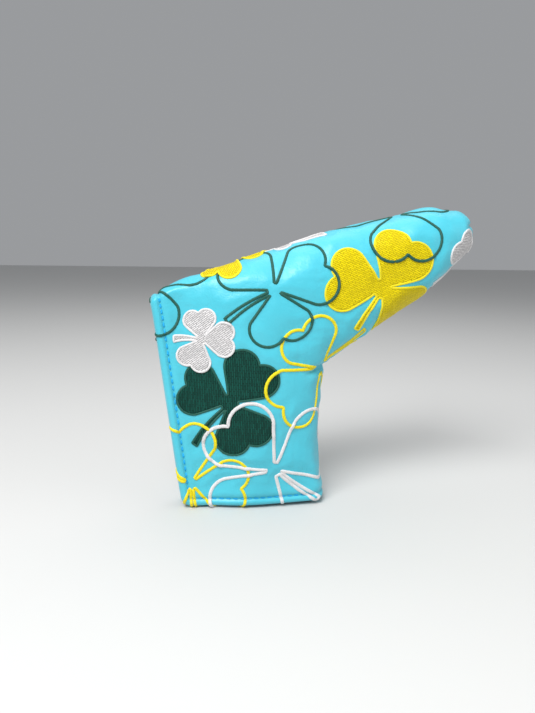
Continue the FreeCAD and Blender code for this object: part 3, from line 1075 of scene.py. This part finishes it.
def wall_layer(name, materials, step, rows, arcs, depths):
    """The front and back halves of one layer of the wall, between two depths in it.

    The first material is on the outer face, and the last one on the inner face and the edges.
    """
    plan, roll, faces, on_crest = wall_grid(step, rows, arcs)
    _, rim_in, _ = nearest(RIM_RUN, plan)
    folds = (roll, rim_in) if roll.max() > 0 else None
    halves, normals = {}, {}
    for side in (FRONT, BACK):
        outer, inner = (
            wall_points(plan, side, -depth, folds, None, depth >= SETTLED_DEPTH)[0]
            for depth in depths
        )
        facing = faces if side == FRONT else flipped(faces)
        halves[side] = (outer, inner, facing)
        normals[side] = side_normals(outer, facing)
    shared = normals[FRONT][on_crest] + normals[BACK][on_crest]
    pieces = {}
    for side, (outer, inner, facing) in halves.items():
        normals[side][on_crest] = shared
        outward = units(normals[side])
        points, closed = slab(outer, inner, facing)
        slots = np.zeros(len(closed), int)
        slots[len(facing):] = len(materials) - 1
        sheen_and_tone = np.concatenate([outward, -outward])
        piece = mesh_piece(name + "_" + NAMES[side], points, closed, materials, None, slots, sheen_and_tone)
        pieces[side] = (piece, points)
    return pieces


OUTER_INSETS = (10.5, 9.3, 8.3, 7.4, 6.6, 5.9, 5.3, 4.9, 4.5, 4.1, 3.7, 3.2, ROLL)
LEATHER_ROWS = hem_rows(OUTER_INSETS, (4.5, 7.5, HEM_WIDTH))
FOAM_ROWS = hem_rows((9.0, 6.0, 4.0, 2.7), steps=0)
LINING_ROWS = hem_rows((16.0, 13.0, 11.2), steps=0)
CREST_ARCS = (0.0, 0.45, 0.9, 1.4, 2.0, 2.8, 3.8, 5.0, 6.3, 7.7, 9.2, 10.8, 12.4)
COARSE_ARCS = (0.0, 2.0, 4.5, 8.0, 12.4)

leather = wall_layer("leather", [AQUA, BACKING], 1.2, LEATHER_ROWS, CREST_ARCS, LEATHER_DEPTHS)
foam = wall_layer("padding", [FOAM], 2.0, FOAM_ROWS, COARSE_ARCS, FOAM_DEPTHS)
lining = wall_layer("lining", [PLUSH], 3.0, LINING_ROWS, COARSE_ARCS, LINING_DEPTHS)
for name, pieces in (("leather", leather), ("padding", foam), ("lining", lining)):
    for side, (piece, points) in pieces.items():
        attach(piece, points)
        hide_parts(name + "_shell", name + "_" + FLAPS[side])

# ---- embroidery pieces

sewn = []
for name, edge in EDGES.items():
    colour = name.split("_")[0]
    side = side_of(name)
    filled, _, leaves, _ = CLOVERS[name]
    cloth = Cloth()
    below = find_threads(sewn) if sewn else None
    sewn.append(name)
    lift = climb(edge, side, below)
    if filled:
        sewn_fill(cloth, edge, side, below, leaves[0][0] + 35)
        sewn_line(cloth, edge, side, 1.15, 0.35, lift + 0.25)
    else:
        sewn_line(cloth, edge, side, LINE_WIDTH[colour], 0.5, lift + 0.05)
    piece = cloth.made("clover_" + name, [SATIN[colour], FILL[colour]])
    attach(piece, cloth.points)
    stand_for(piece.name)

# ---- stitches

STITCH_STEP = 0.45
stitch_run = run(moved_corners(STITCH_INSET, 0.9), HEEL_TOP, MOUTH_NECK)
rim_line = evenly(sample(stitch_run, step_counts(stitch_run, 0.4)), STITCH_STEP)
to_corner = rim_line - rim_line.min(axis=0) - [CORNERS[0][2], 0.0]
corner_at = int(np.argmin(lengths(to_corner)))
per_pitch = round(STITCH_PITCH / STITCH_STEP)
per_stitch = round(STITCH_LENGTH / STITCH_STEP)
for side in (FRONT, BACK):
    rows = {"heel_stitches": Cloth(), "mouth_stitches": Cloth()}
    centres, directions = wall_points(rim_line, side)
    for start in range(2, len(rim_line) - per_stitch - 2, per_pitch):
        part = slice(start, start + per_stitch + 1)
        bow = np.sin(np.linspace(0, math.pi, per_stitch + 1)) * 0.28 - 0.12
        places = centres[part] + directions[part] * bow[:, None]
        row = rows["heel_stitches" if start < corner_at else "mouth_stitches"]
        cord(row, places, directions[part], 0.85, 0.42, 0.0, 0.3)
    for name, row in rows.items():
        piece = row.made(name + "_" + NAMES[side], [BLUE])
        attach(piece, row.points)
        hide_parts(name + "_shell", name + "_" + FLAPS[side])

# The thread that closes the underside seam, from the neck of the mouth to the toe
seam_pieces = run(PLAIN, MOUTH_NECK, HEEL_TOP)[:SPLIT]
seam_plan = evenly(sample(seam_pieces, step_counts(seam_pieces, EDGE_STEP)), EDGE_STEP)[6:]
seam_points, seam_normals = wall_points(seam_plan, BACK, 0.05)
seam = Cloth()
cord(seam, seam_points, seam_normals, 0.9, 0.4, 0.0, 0.3)
seam_thread = seam.made("seam_thread_underside", [BLUE])
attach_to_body(seam_thread, "shell")
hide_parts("seam_thread")

# ---- hook and loop strips

# Where the strips lie: from the heel edge inwards, down that edge, and into the wall
STRIP_INSETS = (3.0, 20.5)
STRIP_DOWNS = (18.687, 92.424)
STRIP_DEPTHS = (5.1, 7.0)
BRISTLE_KNEE = 0.55
BRISTLE_REACH = 0.85
BRISTLE_HALF_DEPTH = 0.14


def add_bristle(points, faces, line, wide, thick):
    """A closed bent bar along a line: one hook, or one side of a loop."""
    start = len(points)
    for place in line:
        points += [place - wide - thick, place + wide - thick, place + wide + thick,
                   place - wide + thick]
    faces += quads(tube_rows(len(line), 4, start))
    last = len(points) - 4
    faces.append((start + 3, start + 2, start + 1, start))
    faces.append((last, last + 1, last + 2, last + 3))


def strip(name, side, half_width, tip_rise, material):
    """A strip inside the heel edge, with hooks or loops that are bent over at their knees."""
    insets = np.linspace(*STRIP_INSETS, 15)
    downs = np.linspace(*STRIP_DOWNS, 60)
    down = unit(PLAIN[0][0] - PLAIN[HEEL_TOP][0])
    plan = np.array([PLAIN[HEEL_TOP][0] + HEEL_IN * i + down * d for d in downs for i in insets])
    threads = np.full(len(plan), NO_THREAD)
    top, _ = wall_points(plan, side, -STRIP_DEPTHS[1], None, threads, True)
    bottom, normals = wall_points(plan, side, -STRIP_DEPTHS[0], None, threads, True)
    faces = quads(np.arange(len(plan)).reshape(len(downs), -1).tolist())
    points, closed = slab(top, bottom, flipped(faces) if side == FRONT else faces)
    points = list(points)
    rng = np.random.default_rng(7 + side)
    for i in range(len(plan)):
        base, up = top[i] + rng.normal(0, 0.25, 3) * [1, 0.2, 1], -normals[i]
        lean = unit(np.cross(up, rng.normal(0, 1, 3)))
        wide = unit(np.cross(up, lean)) * half_width
        knee = base + (up + lean) * BRISTLE_KNEE
        tip = base + up * tip_rise + lean * BRISTLE_REACH
        add_bristle(points, closed, (base, knee, tip), wide, lean * BRISTLE_HALF_DEPTH)
    piece = mesh_piece(name, points, closed, [material])
    attach(piece, points)
    return piece


hook_strip = strip("hook_strip", FRONT, 0.16, 0.2, HOOK_TAPE)
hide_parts("hook_strip_front_flap")
loop_strip = strip("loop_strip", BACK, 0.26, -0.05, LOOP_TAPE)
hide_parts("loop_strip_back_flap")

# ---- floor, light, camera

bpy.ops.mesh.primitive_plane_add(size=6.0, location=(0, 0, -0.0005))
floor = bpy.context.object
floor.name = "floor"
floor_material, _, floor_shader = material("pale_floor", 0.7, 0.3)
floor_shader.inputs["Base Color"].default_value = (0.62, 0.62, 0.61, 1)
floor.data.materials.append(floor_material)

world = bpy.data.worlds.new("studio")
bpy.context.scene.world = world
world.use_nodes = True
background = world.node_tree.nodes["Background"].inputs
background["Color"].default_value = (0.80, 0.82, 0.85, 1)
background["Strength"].default_value = 0.40


def area_light(name, place, size, power):
    """A soft light that points at the middle of the cover."""
    lamp = bpy.data.lights.new(name, "AREA")
    lamp.size = size
    lamp.energy = power
    obj = bpy.data.objects.new(name, lamp)
    obj.location = place
    aim = Vector((0.0, 0.0, 0.08)) - obj.location
    obj.rotation_euler = aim.to_track_quat("-Z", "Y").to_euler()
    bpy.context.collection.objects.link(obj)


area_light("key", (-0.40, -0.50, 0.80), 0.5, 11.5)
area_light("fill", (0.8, -0.5, 0.4), 0.9, 2.2)
area_light("top", (0.1, 0.3, 1.0), 0.8, 3.2)

CAMERA_TILT = 1.08
lens = bpy.data.cameras.new("camera")
lens.sensor_fit = "HORIZONTAL"
lens.sensor_width = 36.0
lens.lens = 41.43
camera = bpy.data.objects.new("camera", lens)
camera.location = (-0.0927, -0.3107, 0.1371)
look = Vector((0.20984, 0.96051, -0.18274)).to_track_quat("-Z", "Y")
camera.rotation_euler = (look @ Quaternion((0, 0, 1), math.radians(CAMERA_TILT))).to_euler()
bpy.context.collection.objects.link(camera)
bpy.context.scene.camera = camera
bpy.context.scene.view_settings.view_transform = "Standard"
